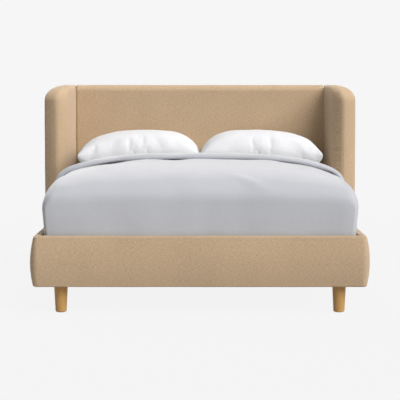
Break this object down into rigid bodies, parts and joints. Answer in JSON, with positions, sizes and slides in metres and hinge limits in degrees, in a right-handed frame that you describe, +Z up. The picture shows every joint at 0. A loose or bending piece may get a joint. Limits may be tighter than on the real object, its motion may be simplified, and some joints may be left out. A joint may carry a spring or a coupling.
{
  "type": "upholstered wingback bed",
  "caption": "Upholstered wingback platform bed with padded rails, tapered oak legs, a slatted deck, mattress, duvet with a turned-down end and two pillows.",
  "frame": {"origin": "on the floor under the middle of the bed's bounding box", "axes": "+X to the right seen from the foot, +Y from the foot to the headboard, +Z up"},
  "size_m": [1.8874, 2.1972, 1.13],
  "materials": {
    "upholstery": "matte",
    "back_cloth": "matte",
    "webbing": "matte",
    "ticking": "matte",
    "duvet_cotton": "matte",
    "pillow_cotton": "matte",
    "pine": "matte",
    "oak": "satin",
    "zinc": "satin",
    "bracket_paint": "matte",
    "black_plastic": "matte"
  },
  "bodies": {
    "frame": {"headboard_pad": "upholstery", "foot_rail_cover": "upholstery", "side_rail_cover_left": "upholstery", "side_rail_cover_right": "upholstery", "headboard_end_cover_left": "upholstery", "headboard_end_cover_right": "upholstery", "wing_pad_left": "upholstery", "wing_pad_right": "upholstery", "headboard_panel": "pine", "foot_rail_board": "pine", "centre_beam": "pine", "side_rail_board_left": "pine", "side_rail_board_right": "pine", "wing_core_left": "pine", "wing_core_right": "pine", "slat_cleat_left": "pine", "slat_cleat_right": "pine", "leg_block_front_left": "pine", "leg_block_front_right": "pine", "leg_block_rear_left": "pine", "leg_block_rear_right": "pine", "slat_01": "pine", "slat_02": "pine", "slat_03": "pine", "slat_04": "pine", "slat_05": "pine", "slat_06": "pine", "slat_07": "pine", "slat_08": "pine", "slat_09": "pine", "slat_10": "pine", "slat_11": "pine", "slat_12": "pine", "slat_13": "pine", "leg_front_left": "oak", "leg_front_right": "oak", "leg_rear_left": "oak", "leg_rear_right": "oak", "centre_leg_middle": "oak", "centre_leg_rear": "oak", "wing_bolts": "zinc", "leg_bolts": "zinc", "corner_bolts": "zinc", "beam_bracket_foot": "bracket_paint", "beam_bracket_head": "bracket_paint", "corner_bracket_front_left": "bracket_paint", "corner_bracket_front_right": "bracket_paint", "corner_bracket_rear_left": "bracket_paint", "corner_bracket_rear_right": "bracket_paint", "leg_glides": "black_plastic", "headboard_back_cover": "back_cloth", "slat_straps": "webbing"},
    "bedding": {"mattress": "ticking", "duvet": "duvet_cotton"},
    "pillow_left": {"pillow_left": "pillow_cotton"},
    "pillow_right": {"pillow_right": "pillow_cotton"},
    "levelling_foot_middle": {"levelling_foot_middle": "black_plastic"},
    "levelling_foot_rear": {"levelling_foot_rear": "black_plastic"}
  },
  "joints": [
    {"name": "bedding_lift", "type": "slide", "parent": "frame", "child": "bedding", "axis": [0, 0, 1], "range_m": [0, 0.5]},
    {"name": "pillow_left_lift", "type": "slide", "parent": "bedding", "child": "pillow_left", "axis": [0, 0, 1], "range_m": [0, 0.35]},
    {"name": "pillow_right_lift", "type": "slide", "parent": "bedding", "child": "pillow_right", "axis": [0, 0, 1], "range_m": [0, 0.35]},
    {"name": "levelling_middle", "type": "slide", "parent": "frame", "child": "levelling_foot_middle", "axis": [0, 0, -1], "range_m": [0, 0.015]},
    {"name": "levelling_rear", "type": "slide", "parent": "frame", "child": "levelling_foot_rear", "axis": [0, 0, -1], "range_m": [0, 0.015]}
  ]
}
